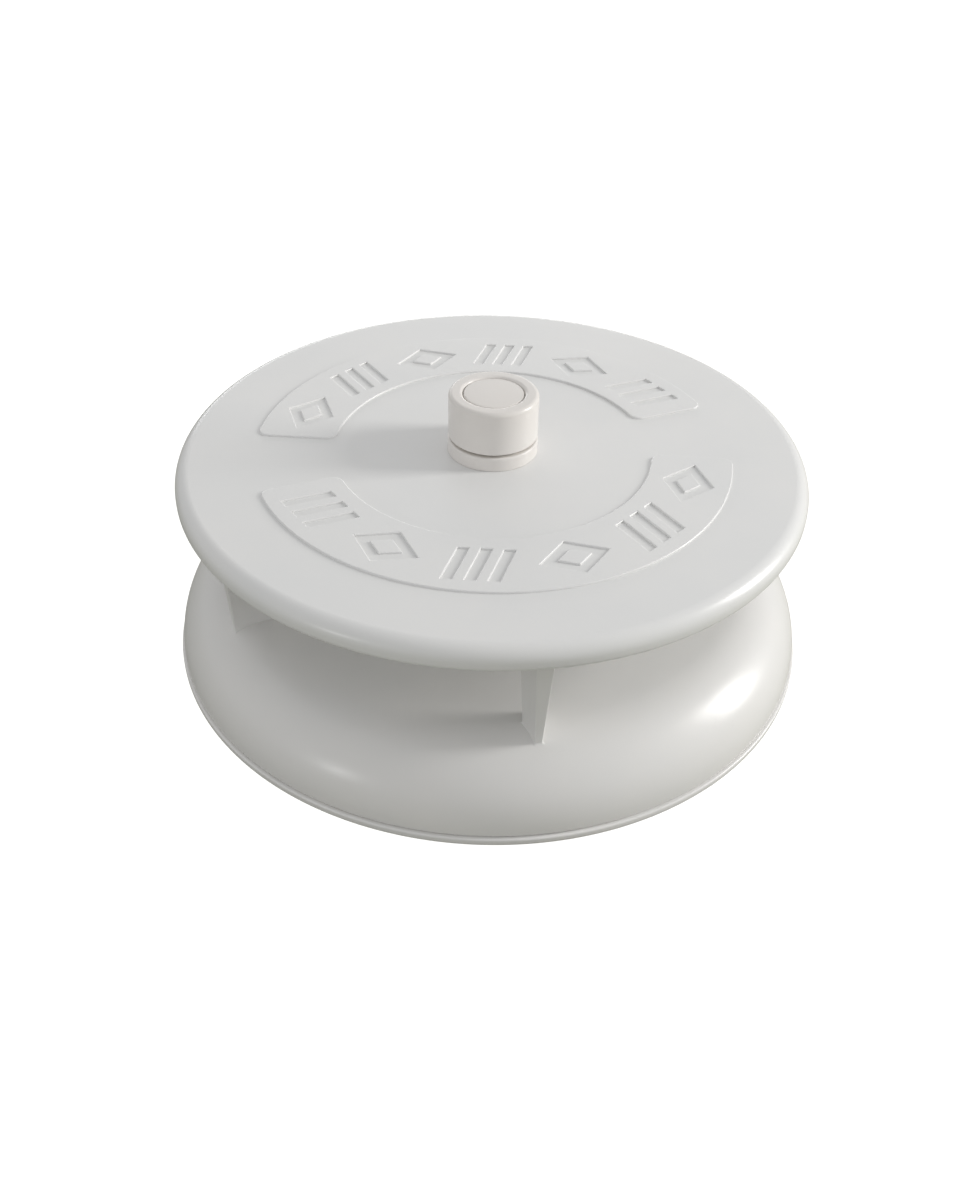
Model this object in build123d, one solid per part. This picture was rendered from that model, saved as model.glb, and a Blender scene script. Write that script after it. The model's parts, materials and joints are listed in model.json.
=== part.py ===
from build123d import *
import math
import os

# Screw-press cheese mould: a domed shell on a slotted drain base, with a flat plate
# carried on five legs above it and a knob that drives a follower inside the shell.
# Millimetres, +Z up. The origin is the centre of the underside.

# ---- driving dimensions -------------------------------------------------------------
PLATE_R = 120.0                  # outer radius of the top plate
PLATE_TOP = 82.8                 # height of the plate's top face
RIM_DEPTH = 9.0                  # depth of the plate's rim
PLATE_THICK = 6.0                # thickness of the plate inside its rim
RIM_TOP_FILLET = 5.6
RIM_LOW_FILLET = 2.2
RIM_INNER_R = 114.2              # inside of the rim's skirt

PANEL_INNER_R = 60.5             # raised arc panels on the plate
PANEL_OUTER_R = 91.0
PANEL_HALF_ANGLE = 77.3
PANEL_RELIEF = 0.8
PANEL_CORNER = 4.0
PANEL_EDGE = 0.3
MARK_COUNT = 6                   # recessed marks on each panel
MARK_STEP = 25.2                 # degrees from one mark to the next
MARK_DEPTH = 0.7
LOZENGE_L = 26.0
LOZENGE_H = 19.0
LOZENGE_HOLE_L = 13.0
LOZENGE_HOLE_H = 9.2
BAR_COUNT = 3                    # slanted bars in one mark
BAR_STEP = 8.0
BAR_W = 4.0
BAR_H = 18.0
BAR_LEAN = 4.4                   # how far a bar's top stands right of its bottom

SHELL_TOP = 32.4                 # height of the shell's flat top
SHELL_WIDEST_R = 125.6
SHOULDER_R = 27.5                # radius of the rounded shoulder
SHELL_WALL = 3.2
TURRET_R = 33.0                  # raised middle of the roof, which houses the hub
TURRET_RISE = 4.8
TURRET_FILLET = 1.5
SHELL_BORE_R = 119.0             # straight inner wall

LIP_R = 126.7                    # drain base
FLOOR = 3.6
LIP_TOP_FILLET = 0.8
LIP_LOW_FILLET = 1.8
RING_OUTER_R = 118.6
RING_INNER_R = 116.2
RING_TOP = 9.1
SLOT_W = 2.2
FLOOR_SLOTS = ((35.0, 12), (66.0, 24), (98.0, 36))    # ring radius, number of slots
FLOOR_SLOT_L = 20.0
MESH_R = 115.8
MESH_TOP = 4.4

LEG_COUNT = 5
LEG_FIRST = -90.0                # direction of the first leg, degrees from +X
LEG_OUT_R = 108.0                # outer end of a leg at its foot
LEG_OUT_W = 2.4
LEG_HEEL_R = 99.0                # the leg is thickest here, on its clockwise side
LEG_HEEL_W = 3.9                 # from the leg's radial line to the heel
LEG_IN_R = 94.0                  # inner end of the straight side
LEG_DRAFT = 3.2
LEG_CORNER = 0.5
LEG_FOOT_Z = 28.0                # height where the foot sizes hold
TONGUE_R = 101.0                 # middle of the plug on top of a leg
TONGUE_L = 8.0
TONGUE_W = 4.0
TONGUE_H = 2.0

TRAVEL = 10.0                    # stroke of the follower
SPINDLE_R = 8.0
RUNNING = 0.05                   # radial clearance of a running fit
FREE = 0.3                       # radial clearance of a loose fit
SNUG = 0.02                      # radial clearance of a pressed-in pin or screw thread
TUBE_R = 10.5
TUBE_BORE_R = 8.6
TUBE_FLANGE_R = 17.0
TUBE_FLANGE_H = 2.5
TUBE_THREAD_TOP = 48.0           # the nut thread ends here
SLEEVE_R = 15.0
COLLAR_R = 17.2
COLLAR_TOP = 88.4
COLLAR_EDGE = 0.8
SEAL_MEAN_R = 14.2
SEAL_W = 2.2
SEAL_H = 1.3

KNOB_R = 17.0
KNOB_FOOT = 89.5
KNOB_TOP = 107.0
KNOB_EDGE = 1.7
KNOB_FOOT_EDGE = 0.6
WASHER_R = 15.3
WASHER_GAP = 0.1                 # air between washer and collar when screwed down
HEX_FLAT = 12.0
HEX_TOP = 98.0
PLUG_R = 11.4
PLUG_FLOOR = 105.0
PLUG_TOP = 106.7
PLUG_EDGE = 0.5
PLUG_GAP = 0.2                   # between plug and knob
PLUG_MOUTH = 1.4                 # rounding of the knob round the plug
BOLT_R = 3.0
BOLT_HEAD_R = 5.2
BOLT_HEAD_TOP = 104.6
BOLT_SEAT = 101.5
BOLT_END = 86.0
BOLT_EDGE = 0.8
BOLT_KEY_FLAT = 5.0              # hexagon socket
BOLT_KEY_DEPTH = 2.0

FOLLOWER_FACE = 12.0             # pressing face when screwed right down
FOLLOWER_THICK = 6.2
FOLLOWER_LAND = 0.4              # height of the straight edge
FOLLOWER_GAP = 0.9               # to the shell's shoulder when raised
FOLLOWER_SLOTS = ((50.0, 16), (80.0, 28))
FOLLOWER_SLOT_L = 22.0
HUB_R = 11.4
HUB_FLOOR = 14.0
FOOT_R = 11.0                    # spindle's foot in the hub
FOOT_BOTTOM = 15.6
FOOT_TOP = 17.9
THRUST_TOP = 15.5
RETAINER_R = 17.5
RETAINER_H = 2.2
SCREW_PCD_R = 14.4
SCREW_COUNT = 4
SCREW_FIRST = 45.0
SCREW_R = 1.5
SCREW_HEAD_R = 2.5
SCREW_HEAD_H = 1.0
SCREW_END = 15.0
SCREW_GAP = 0.1                  # round a screw in the ring

PIN_OFFSET = 24.0                # guide pins sit on the Y axis
PIN_R = 3.0
PIN_BOTTOM = 14.5
PIN_TOP = 43.0
BUSH_R = 4.6
BUSH_FLANGE_R = 5.8
BUSH_FLANGE_H = 1.5
BUSH_BOTTOM = 33.0

# ---- heights that follow ------------------------------------------------------------
RIM_BOTTOM = PLATE_TOP - RIM_DEPTH
PLATE_UNDER = PLATE_TOP - PLATE_THICK
ROOF_UNDER = SHELL_TOP - SHELL_WALL
TURRET_TOP = SHELL_TOP + TURRET_RISE
TURRET_UNDER = TURRET_TOP - SHELL_WALL
SHOULDER_X = SHELL_WIDEST_R - SHOULDER_R
SHOULDER_Z = SHELL_TOP - SHOULDER_R
CAVITY_SHOULDER_R = SHOULDER_R - SHELL_WALL
FOLLOWER_TOP = FOLLOWER_FACE + FOLLOWER_THICK
RETAINER_TOP = FOLLOWER_TOP + RETAINER_H
TUBE_BOTTOM = TURRET_UNDER - TUBE_FLANGE_H
TUBE_HOLE_R = TUBE_R + FREE


SAME = 0.01                      # lengths closer than this are one length


def rod(radius, low, high, x=0.0, y=0.0):
    """Upright cylinder from low to high."""
    return Pos(x, y, low) * Cylinder(radius, high - low, align=(Align.CENTER, Align.CENTER, Align.MIN))


def ring(outer, inner, low, high, x=0.0, y=0.0):
    """Upright tube from low to high."""
    return rod(outer, low, high, x, y) - rod(inner, low, high, x, y)


def turned(edges):
    """Solid of revolution about Z from edges in the XZ plane."""
    return revolve(make_face(edges), Axis.Z, 360)


def on_arc(cx, cz, radius, degrees):
    """Point of an arc in the XZ plane."""
    a = math.radians(degrees)
    return (cx + radius * math.cos(a), 0, cz + radius * math.sin(a))


def round_edges(solid, radius, circle_r, height):
    """Fillet the circular edges of a given radius at a given height."""
    chosen = [
        e for e in solid.edges().filter_by(GeomType.CIRCLE)
        if abs(e.radius - circle_r) < SAME and abs(e.center().Z - height) < SAME
    ]
    return fillet(chosen, radius)


def radial_slots(rings, length, low, high):
    """Round-ended slots, radial, in concentric rings."""
    slots = []
    for radius, count in rings:
        for i in range(count):
            plan = Rot(0, 0, 360.0 * i / count) * Pos(radius, 0) * SlotOverall(length, SLOT_W)
            slots.append(extrude(Pos(0, 0, low) * plan, high - low))
    return slots


# ---- drain base ---------------------------------------------------------------------
def make_drain_base():
    floor = rod(LIP_R, 0, FLOOR)
    floor = round_edges(floor, LIP_LOW_FILLET, LIP_R, 0)
    floor = round_edges(floor, LIP_TOP_FILLET, LIP_R, FLOOR)
    floor = floor - radial_slots(FLOOR_SLOTS, FLOOR_SLOT_L, 0, FLOOR)
    return floor + ring(RING_OUTER_R, RING_INNER_R, FLOOR, RING_TOP)


def make_drain_mesh():
    return rod(MESH_R, FLOOR, MESH_TOP)


# ---- shell --------------------------------------------------------------------------
def shell_outline():
    """Outside of the shell from the axis to its bottom edge."""
    top = Line((0, 0, SHELL_TOP), (SHOULDER_X, 0, SHELL_TOP))
    shoulder = ThreePointArc(
        (SHOULDER_X, 0, SHELL_TOP),
        on_arc(SHOULDER_X, SHOULDER_Z, SHOULDER_R, 45),
        (SHELL_WIDEST_R, 0, SHOULDER_Z),
    )
    tuck_r = SHOULDER_Z - FLOOR
    tuck_x = SHELL_WIDEST_R - tuck_r
    tuck = ThreePointArc(
        (SHELL_WIDEST_R, 0, SHOULDER_Z),
        on_arc(tuck_x, SHOULDER_Z, tuck_r, -45),
        (tuck_x, 0, FLOOR),
    )
    return [top, shoulder, tuck]


def make_shell_envelope():
    """The shell's outside as a full solid."""
    edges = shell_outline()
    end = edges[-1] @ 1
    edges.append(Line(end, (0, 0, FLOOR)))
    edges.append(Line((0, 0, FLOOR), (0, 0, SHELL_TOP)))
    return turned(edges)


def make_shell_cavity():
    """The space inside the shell: a straight wall under a rounded shoulder."""
    meet_angle = math.degrees(math.acos((SHELL_BORE_R - SHOULDER_X) / CAVITY_SHOULDER_R))
    meet = on_arc(SHOULDER_X, SHOULDER_Z, CAVITY_SHOULDER_R, meet_angle)
    middle = on_arc(SHOULDER_X, SHOULDER_Z, CAVITY_SHOULDER_R, (90 + meet_angle) / 2)
    edges = [
        Line((0, 0, ROOF_UNDER), (SHOULDER_X, 0, ROOF_UNDER)),
        ThreePointArc((SHOULDER_X, 0, ROOF_UNDER), middle, meet),
        Line(meet, (SHELL_BORE_R, 0, FLOOR)),
        Line((SHELL_BORE_R, 0, FLOOR), (0, 0, FLOOR)),
        Line((0, 0, FLOOR), (0, 0, ROOF_UNDER)),
    ]
    return turned(edges)


def make_mould_shell():
    turret = round_edges(rod(TURRET_R, ROOF_UNDER, TURRET_TOP), TURRET_FILLET, TURRET_R, TURRET_TOP)
    shell = make_shell_envelope() + turret - make_shell_cavity()
    shell = shell - rod(TURRET_R - SHELL_WALL, ROOF_UNDER, TURRET_UNDER)
    shell = shell - rod(TUBE_HOLE_R, TURRET_UNDER, TURRET_TOP)
    for side in (-1, 1):
        shell = shell - rod(BUSH_R + RUNNING, TURRET_UNDER, TURRET_TOP, 0, side * PIN_OFFSET)
    return shell


def make_guide_bushes():
    bushes = []
    for side in (-1, 1):
        y = side * PIN_OFFSET
        body = rod(BUSH_R, BUSH_BOTTOM, TURRET_TOP, 0, y)
        flange = rod(BUSH_FLANGE_R, TURRET_TOP, TURRET_TOP + BUSH_FLANGE_H, 0, y)
        bore = rod(PIN_R + RUNNING, BUSH_BOTTOM, TURRET_TOP + BUSH_FLANGE_H, 0, y)
        bushes.append(body + flange - bore)
    return Compound(children=bushes)


# ---- legs ---------------------------------------------------------------------------
def leg_angle(index):
    return LEG_FIRST + 360.0 * index / LEG_COUNT


def leg_tongue(angle, clearance):
    """Plug on top of a leg that enters the plate's underside."""
    block = Box(
        TONGUE_L + 2 * clearance,
        TONGUE_W + 2 * clearance,
        TONGUE_H + clearance,
        align=(Align.CENTER, Align.CENTER, Align.MIN),
    )
    return Rot(0, 0, angle) * Pos(TONGUE_R, 0, PLATE_UNDER) * block


def make_leg(angle, envelope):
    """Drafted leg, narrow at its outer end and foot: one side radial, the other with a heel."""
    plan = Polygon(
        (LEG_HEEL_R, -LEG_HEEL_W),
        (LEG_OUT_R, -LEG_OUT_W / 2),
        (LEG_OUT_R, LEG_OUT_W / 2),
        (LEG_IN_R, LEG_OUT_W / 2),
        align=None,
    )
    upper = extrude(Pos(0, 0, LEG_FOOT_Z) * plan, PLATE_UNDER - LEG_FOOT_Z, taper=-LEG_DRAFT)
    uprights = [e for e in upper.edges() if e.bounding_box().size.Z > (PLATE_UNDER - LEG_FOOT_Z) / 2]
    upper = fillet(uprights, LEG_CORNER)
    lower_plan = upper.faces().sort_by(Axis.Z)[0]
    lower = extrude(lower_plan, LEG_FOOT_Z - SHOULDER_Z, dir=(0, 0, -1))
    leg = Rot(0, 0, angle) * (upper + lower) - envelope
    leg = leg.solids().sort_by(Axis.Z)[-1]
    return leg + leg_tongue(angle, 0.0)


# ---- top plate ----------------------------------------------------------------------
def make_panel_plan():
    """Arc-shaped panel centred on +Y, with rounded corners."""
    half = math.radians(PANEL_HALF_ANGLE)

    def at(radius, turn):
        return (radius * math.sin(turn), radius * math.cos(turn))

    edges = [
        ThreePointArc(at(PANEL_OUTER_R, -half), at(PANEL_OUTER_R, 0), at(PANEL_OUTER_R, half)),
        Line(at(PANEL_OUTER_R, half), at(PANEL_INNER_R, half)),
        ThreePointArc(at(PANEL_INNER_R, half), at(PANEL_INNER_R, 0), at(PANEL_INNER_R, -half)),
        Line(at(PANEL_INNER_R, -half), at(PANEL_OUTER_R, -half)),
    ]
    plan = make_face(edges)
    return fillet(plan.vertices(), PANEL_CORNER)


def lozenge(length, height):
    return Polygon((-length / 2, 0), (0, -height / 2), (length / 2, 0), (0, height / 2))


def lozenge_mark():
    """Hollow lozenge."""
    return lozenge(LOZENGE_L, LOZENGE_H) - lozenge(LOZENGE_HOLE_L, LOZENGE_HOLE_H)


def bars_mark():
    """Row of slanted bars."""
    foot = -(BAR_W + BAR_LEAN) / 2
    head = foot + BAR_LEAN
    half = BAR_H / 2
    bar = Polygon((foot, -half), (foot + BAR_W, -half), (head + BAR_W, half), (head, half), align=None)
    first = -BAR_STEP * (BAR_COUNT - 1) / 2
    return Sketch() + [Pos(first + BAR_STEP * i, 0) * bar for i in range(BAR_COUNT)]


def make_panel_marks():
    """Row of marks along the middle of the panel on +Y."""
    middle_r = (PANEL_INNER_R + PANEL_OUTER_R) / 2
    marks = []
    for i in range(MARK_COUNT):
        turn = (i - (MARK_COUNT - 1) / 2) * MARK_STEP
        shape = lozenge_mark() if i % 2 == 0 else bars_mark()
        marks.append(Rot(0, 0, -turn) * Pos(0, middle_r) * shape)
    return marks


def make_panel():
    panel = extrude(Pos(0, 0, PLATE_TOP) * make_panel_plan(), PANEL_RELIEF)
    top_edges = panel.faces().sort_by(Axis.Z)[-1].edges()
    panel = chamfer(top_edges, PANEL_EDGE)
    sink = PLATE_TOP + PANEL_RELIEF - MARK_DEPTH
    cuts = [extrude(Pos(0, 0, sink) * mark, MARK_DEPTH) for mark in make_panel_marks()]
    return panel - cuts


def make_top_plate():
    disc = rod(PLATE_R, RIM_BOTTOM, PLATE_TOP) - rod(RIM_INNER_R, RIM_BOTTOM, PLATE_UNDER)
    disc = round_edges(disc, RIM_TOP_FILLET, PLATE_R, PLATE_TOP)
    disc = round_edges(disc, RIM_LOW_FILLET, PLATE_R, RIM_BOTTOM)
    plate = disc - rod(TUBE_HOLE_R, PLATE_UNDER, PLATE_TOP)
    for side in (0, 180):
        plate = plate + Rot(0, 0, side) * make_panel()
    for i in range(LEG_COUNT):
        plate = plate - leg_tongue(leg_angle(i), RUNNING)
    return plate


# ---- housing and clamp --------------------------------------------------------------
def seal_ring(low, clearance=0.0):
    half = SEAL_W / 2 + clearance
    return ring(SEAL_MEAN_R + half, SEAL_MEAN_R - half, low, low + SEAL_H + clearance)


def make_spindle_tube():
    tube = rod(TUBE_R, TURRET_UNDER, COLLAR_TOP) + rod(TUBE_FLANGE_R, TUBE_BOTTOM, TURRET_UNDER)
    tube = tube - rod(SPINDLE_R + RUNNING, TUBE_BOTTOM, TUBE_THREAD_TOP)
    tube = tube - rod(TUBE_BORE_R, TUBE_THREAD_TOP, COLLAR_TOP)
    return tube - seal_ring(TURRET_UNDER - SEAL_H, RUNNING)


def make_centre_sleeve():
    return ring(SLEEVE_R, TUBE_HOLE_R, TURRET_TOP, PLATE_UNDER)


def make_clamp_collar():
    collar = ring(COLLAR_R, TUBE_R + RUNNING, PLATE_TOP, COLLAR_TOP)
    collar = round_edges(collar, COLLAR_EDGE, COLLAR_R, COLLAR_TOP)
    return collar - seal_ring(PLATE_TOP, RUNNING)


# ---- spindle and knob ---------------------------------------------------------------
def hexagon(flat, low, high):
    plan = RegularPolygon(flat / 2, 6, major_radius=False)
    return extrude(Pos(0, 0, low) * plan, high - low)


def make_press_spindle():
    foot = rod(FOOT_R, FOOT_BOTTOM, FOOT_TOP)
    washer_foot = COLLAR_TOP + WASHER_GAP
    shank = rod(SPINDLE_R, FOOT_TOP, washer_foot)
    spindle = foot + shank + hexagon(HEX_FLAT, washer_foot, HEX_TOP)
    return spindle - rod(BOLT_R + RUNNING, BOLT_END, HEX_TOP)


def make_knob():
    knob = rod(KNOB_R, KNOB_FOOT, KNOB_TOP)
    knob = round_edges(knob, KNOB_EDGE, KNOB_R, KNOB_TOP)
    knob = round_edges(knob, KNOB_FOOT_EDGE, KNOB_R, KNOB_FOOT)
    knob = knob - rod(PLUG_R + PLUG_GAP, PLUG_FLOOR, KNOB_TOP)
    knob = round_edges(knob, PLUG_MOUTH, PLUG_R + PLUG_GAP, KNOB_TOP)
    knob = knob - rod(BOLT_HEAD_R + FREE, BOLT_SEAT, PLUG_FLOOR)
    knob = knob - rod(BOLT_R + FREE, HEX_TOP, BOLT_SEAT)
    return knob - hexagon(HEX_FLAT + 2 * RUNNING, KNOB_FOOT, HEX_TOP + FREE)


def make_knob_washer():
    low = COLLAR_TOP + WASHER_GAP
    return rod(WASHER_R, low, KNOB_FOOT) - hexagon(HEX_FLAT + 2 * RUNNING, low, KNOB_FOOT)


def make_knob_bolt():
    head = rod(BOLT_HEAD_R, BOLT_SEAT, BOLT_HEAD_TOP)
    head = round_edges(head, BOLT_EDGE, BOLT_HEAD_R, BOLT_HEAD_TOP)
    bolt = head + rod(BOLT_R, BOLT_END, BOLT_SEAT)
    return bolt - hexagon(BOLT_KEY_FLAT, BOLT_HEAD_TOP - BOLT_KEY_DEPTH, BOLT_HEAD_TOP)


def make_knob_plug():
    plug = rod(PLUG_R, PLUG_FLOOR, PLUG_TOP)
    return round_edges(plug, PLUG_EDGE, PLUG_R, PLUG_TOP)


# ---- follower -----------------------------------------------------------------------
def make_follower_plate():
    """Slotted plate whose rounded edge nests in the shell's shoulder when raised."""
    edge_r = CAVITY_SHOULDER_R - FOLLOWER_GAP
    edge_z = SHOULDER_Z - TRAVEL
    land_top = FOLLOWER_FACE + FOLLOWER_LAND
    low_angle = math.degrees(math.asin((land_top - edge_z) / edge_r))
    high_angle = math.degrees(math.asin((FOLLOWER_TOP - edge_z) / edge_r))
    low = on_arc(SHOULDER_X, edge_z, edge_r, low_angle)
    middle = on_arc(SHOULDER_X, edge_z, edge_r, (low_angle + high_angle) / 2)
    high = on_arc(SHOULDER_X, edge_z, edge_r, high_angle)
    edges = [
        Line((0, 0, FOLLOWER_FACE), (low[0], 0, FOLLOWER_FACE)),
        Line((low[0], 0, FOLLOWER_FACE), low),
        ThreePointArc(low, middle, high),
        Line(high, (0, 0, FOLLOWER_TOP)),
        Line((0, 0, FOLLOWER_TOP), (0, 0, FOLLOWER_FACE)),
    ]
    plate = turned(edges)
    plate = plate - radial_slots(FOLLOWER_SLOTS, FOLLOWER_SLOT_L, FOLLOWER_FACE, FOLLOWER_TOP)
    plate = plate - rod(HUB_R, HUB_FLOOR, FOLLOWER_TOP)
    for side in (-1, 1):
        plate = plate - rod(PIN_R + SNUG, PIN_BOTTOM, FOLLOWER_TOP, 0, side * PIN_OFFSET)
    for x, y in screw_places():
        plate = plate - rod(SCREW_R + SNUG, SCREW_END, FOLLOWER_TOP, x, y)
    return plate


def screw_places():
    places = []
    for i in range(SCREW_COUNT):
        a = math.radians(SCREW_FIRST + 360 * i / SCREW_COUNT)
        places.append((SCREW_PCD_R * math.cos(a), SCREW_PCD_R * math.sin(a)))
    return places


def make_thrust_washer():
    return rod(FOOT_R, HUB_FLOOR, THRUST_TOP)


def make_retainer_ring():
    retainer = ring(RETAINER_R, SPINDLE_R + RUNNING, FOLLOWER_TOP, RETAINER_TOP)
    for x, y in screw_places():
        retainer = retainer - rod(SCREW_R + SCREW_GAP, FOLLOWER_TOP, RETAINER_TOP, x, y)
        retainer = retainer - rod(SCREW_HEAD_R + SCREW_GAP, RETAINER_TOP - SCREW_HEAD_H, RETAINER_TOP, x, y)
    return retainer


def make_retainer_screws():
    screws = []
    for x, y in screw_places():
        head = rod(SCREW_HEAD_R, RETAINER_TOP - SCREW_HEAD_H, RETAINER_TOP, x, y)
        screws.append(head + rod(SCREW_R, SCREW_END, RETAINER_TOP - SCREW_HEAD_H, x, y))
    return Compound(children=screws)


def make_guide_pins():
    return Compound(children=[rod(PIN_R, PIN_BOTTOM, PIN_TOP, 0, side * PIN_OFFSET) for side in (-1, 1)])


# ---- all pieces ---------------------------------------------------------------------
def make_parts():
    parts = {
        "drain_base": make_drain_base(),
        "drain_mesh": make_drain_mesh(),
        "mould_shell": make_mould_shell(),
        "guide_bushes": make_guide_bushes(),
        "top_plate": make_top_plate(),
        "spindle_tube": make_spindle_tube(),
        "tube_seal": seal_ring(TURRET_UNDER - SEAL_H),
        "centre_sleeve": make_centre_sleeve(),
        "clamp_collar": make_clamp_collar(),
        "collar_seal": seal_ring(PLATE_TOP),
        "follower_plate": make_follower_plate(),
        "thrust_washer": make_thrust_washer(),
        "retainer_ring": make_retainer_ring(),
        "retainer_screws": make_retainer_screws(),
        "guide_pins": make_guide_pins(),
        "press_spindle": make_press_spindle(),
        "knob": make_knob(),
        "knob_washer": make_knob_washer(),
        "knob_bolt": make_knob_bolt(),
        "knob_plug": make_knob_plug(),
    }
    envelope = make_shell_envelope()
    for i in range(LEG_COUNT):
        parts[f"spacer_leg_{i + 1}"] = make_leg(leg_angle(i), envelope)
    return parts


os.makedirs("parts", exist_ok=True)
for name, shape in make_parts().items():
    export_step(shape, f"parts/{name}.step")
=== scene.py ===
import json
import math

import bmesh
import bpy
from mathutils import Matrix, Vector


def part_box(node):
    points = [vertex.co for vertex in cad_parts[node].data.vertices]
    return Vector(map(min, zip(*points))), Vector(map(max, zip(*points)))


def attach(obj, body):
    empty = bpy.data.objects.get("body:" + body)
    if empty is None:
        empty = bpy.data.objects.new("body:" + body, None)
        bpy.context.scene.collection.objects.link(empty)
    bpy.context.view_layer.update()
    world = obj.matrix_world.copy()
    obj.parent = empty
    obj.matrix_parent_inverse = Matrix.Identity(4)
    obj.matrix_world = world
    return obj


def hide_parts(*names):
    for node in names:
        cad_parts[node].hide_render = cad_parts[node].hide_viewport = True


# Looks of the screw-press cheese mould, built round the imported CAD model. Metres.

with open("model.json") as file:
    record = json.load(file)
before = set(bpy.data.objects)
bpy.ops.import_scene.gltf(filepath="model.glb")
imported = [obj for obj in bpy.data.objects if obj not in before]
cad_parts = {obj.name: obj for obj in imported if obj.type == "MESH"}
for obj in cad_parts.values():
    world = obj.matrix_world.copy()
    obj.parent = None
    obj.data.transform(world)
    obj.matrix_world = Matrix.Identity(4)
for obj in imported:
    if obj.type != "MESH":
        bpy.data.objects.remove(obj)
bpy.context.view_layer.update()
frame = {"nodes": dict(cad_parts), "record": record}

MM = 0.001
FINE = 256                     # facets round a large turned piece
SMALL = 128                    # facets round the knob and other small pieces


# ---- measures from the frame --------------------------------------------------------
def radius_of(node):
    low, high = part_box(node)
    return (high.x - low.x) / 2


def bottom_of(node):
    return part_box(node)[0].z


def top_of(node):
    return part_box(node)[1].z


PLATE_R = radius_of("top_plate")
PLATE_TOP = bottom_of("clamp_collar")
PANEL_TOP = top_of("top_plate")
PLATE_UNDER = top_of("centre_sleeve")
RIM_BOTTOM = bottom_of("top_plate")
RIM_TOP_FILLET = 5.6 * MM
RIM_LOW_FILLET = 2.2 * MM
RIM_INNER_R = 114.2 * MM
HOLE_R = 10.8 * MM             # clearance round the spindle tube

SHELL_R = radius_of("mould_shell")
SHELL_FOOT = bottom_of("mould_shell")
TURRET_TOP = bottom_of("centre_sleeve")
TURRET_R = 33.0 * MM
TURRET_EDGE = 1.5 * MM
TURRET_FOOT_FILLET = 1.2 * MM
TURRET_UNDER = top_of("tube_seal")
SHELL_WALL = TURRET_TOP - TURRET_UNDER
SHELL_TOP = 32.4 * MM
SHOULDER_R = 27.5 * MM         # radius of the rounded shoulder
SHOULDER_X = SHELL_R - SHOULDER_R
SHOULDER_Z = SHELL_TOP - SHOULDER_R
SHELL_BORE_R = 119.0 * MM
BUSH_HOLE_R = 4.65 * MM        # hole for a guide bush in the turret's roof


# ---- mesh tools ---------------------------------------------------------------------
def arc(cx, cz, radius, start, end, steps):
    """Points of an arc in a profile, in degrees from +r towards +z."""
    points = []
    for i in range(steps + 1):
        a = math.radians(start + (end - start) * i / steps)
        points.append((cx + radius * math.cos(a), cz + radius * math.sin(a)))
    return points


def lathe(name, profile, segments):
    """Mesh turned about Z from a closed profile of (r, z) points off the axis or on it."""
    bm = bmesh.new()
    rings = []
    for r, z in profile:
        if r < 1e-7:
            rings.append([bm.verts.new((0, 0, z))] * segments)
            continue
        ring = []
        for i in range(segments):
            a = 2 * math.pi * i / segments
            ring.append(bm.verts.new((r * math.cos(a), r * math.sin(a), z)))
        rings.append(ring)
    for k, low in enumerate(rings):
        high = rings[(k + 1) % len(rings)]
        if low[0] is low[1] and high[0] is high[1]:
            continue
        for i in range(segments):
            j = (i + 1) % segments
            corners = []
            for v in (low[i], low[j], high[j], high[i]):
                if v not in corners:
                    corners.append(v)
            bm.faces.new(corners)
    return finish_mesh(name, bm)


def finish_mesh(name, bm, sharp=30.0):
    """Turn a bmesh into a mesh, smooth except at edges sharper than an angle in degrees."""
    bmesh.ops.recalc_face_normals(bm, faces=bm.faces)
    limit = math.radians(sharp)
    for face in bm.faces:
        face.smooth = True
    for edge in bm.edges:
        edge.smooth = len(edge.link_faces) == 2 and edge.calc_face_angle(0.0) < limit
    mesh = bpy.data.meshes.new(name)
    bm.to_mesh(mesh)
    bm.free()
    return mesh


def loose(name, mesh):
    """Object that only helps to build another."""
    obj = bpy.data.objects.new(name, mesh)
    bpy.context.scene.collection.objects.link(obj)
    return obj


def evaluated(name, obj):
    """Final mesh of an object with its modifiers; the object is removed."""
    graph = bpy.context.evaluated_depsgraph_get()
    mesh = bpy.data.meshes.new_from_object(obj.evaluated_get(graph))
    mesh.name = name
    bpy.data.objects.remove(obj)
    return mesh


def boolean(name, mesh, other, operation):
    """Exact union or difference of two meshes."""
    target = loose(name + "_target", mesh)
    tool = loose(name + "_tool", other)
    modifier = target.modifiers.new("cut", "BOOLEAN")
    modifier.operation = operation
    modifier.solver = "EXACT"
    modifier.object = tool
    result = evaluated(name, target)
    bpy.data.objects.remove(tool)
    bm = bmesh.new()
    bm.from_mesh(result)
    bmesh.ops.remove_doubles(bm, verts=bm.verts, dist=1e-7)
    bmesh.ops.dissolve_degenerate(bm, edges=bm.edges, dist=1e-7)
    return finish_mesh(name, bm)


def cylinder(name, radius, low, high, x=0.0, y=0.0, segments=64):
    mesh = lathe(name, [(0, low), (radius, low), (radius, high), (0, high)], segments)
    mesh.transform(Matrix.Translation((x, y, 0)))
    return mesh


def plan_solid(name, outlines, low, high, edge, steps=3):
    """Flat solid from closed outlines, holes among them, with rounded top and bottom edges."""
    curve = bpy.data.curves.new(name, "CURVE")
    curve.dimensions = "2D"
    curve.fill_mode = "BOTH"
    for outline in outlines:
        spline = curve.splines.new("POLY")
        spline.points.add(len(outline) - 1)
        for point, (x, y) in zip(spline.points, outline):
            point.co = (x, y, 0, 1)
        spline.use_cyclic_u = True
    curve.extrude = (high - low) / 2 - edge
    curve.bevel_depth = edge
    curve.bevel_resolution = steps
    curve.offset = -edge
    mesh = evaluated(name, loose(name, curve))
    mesh.transform(Matrix.Translation((0, 0, (low + high) / 2)))
    bm = bmesh.new()
    bm.from_mesh(mesh)
    bmesh.ops.remove_doubles(bm, verts=bm.verts, dist=1e-7)
    return finish_mesh(name, bm)


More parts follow.
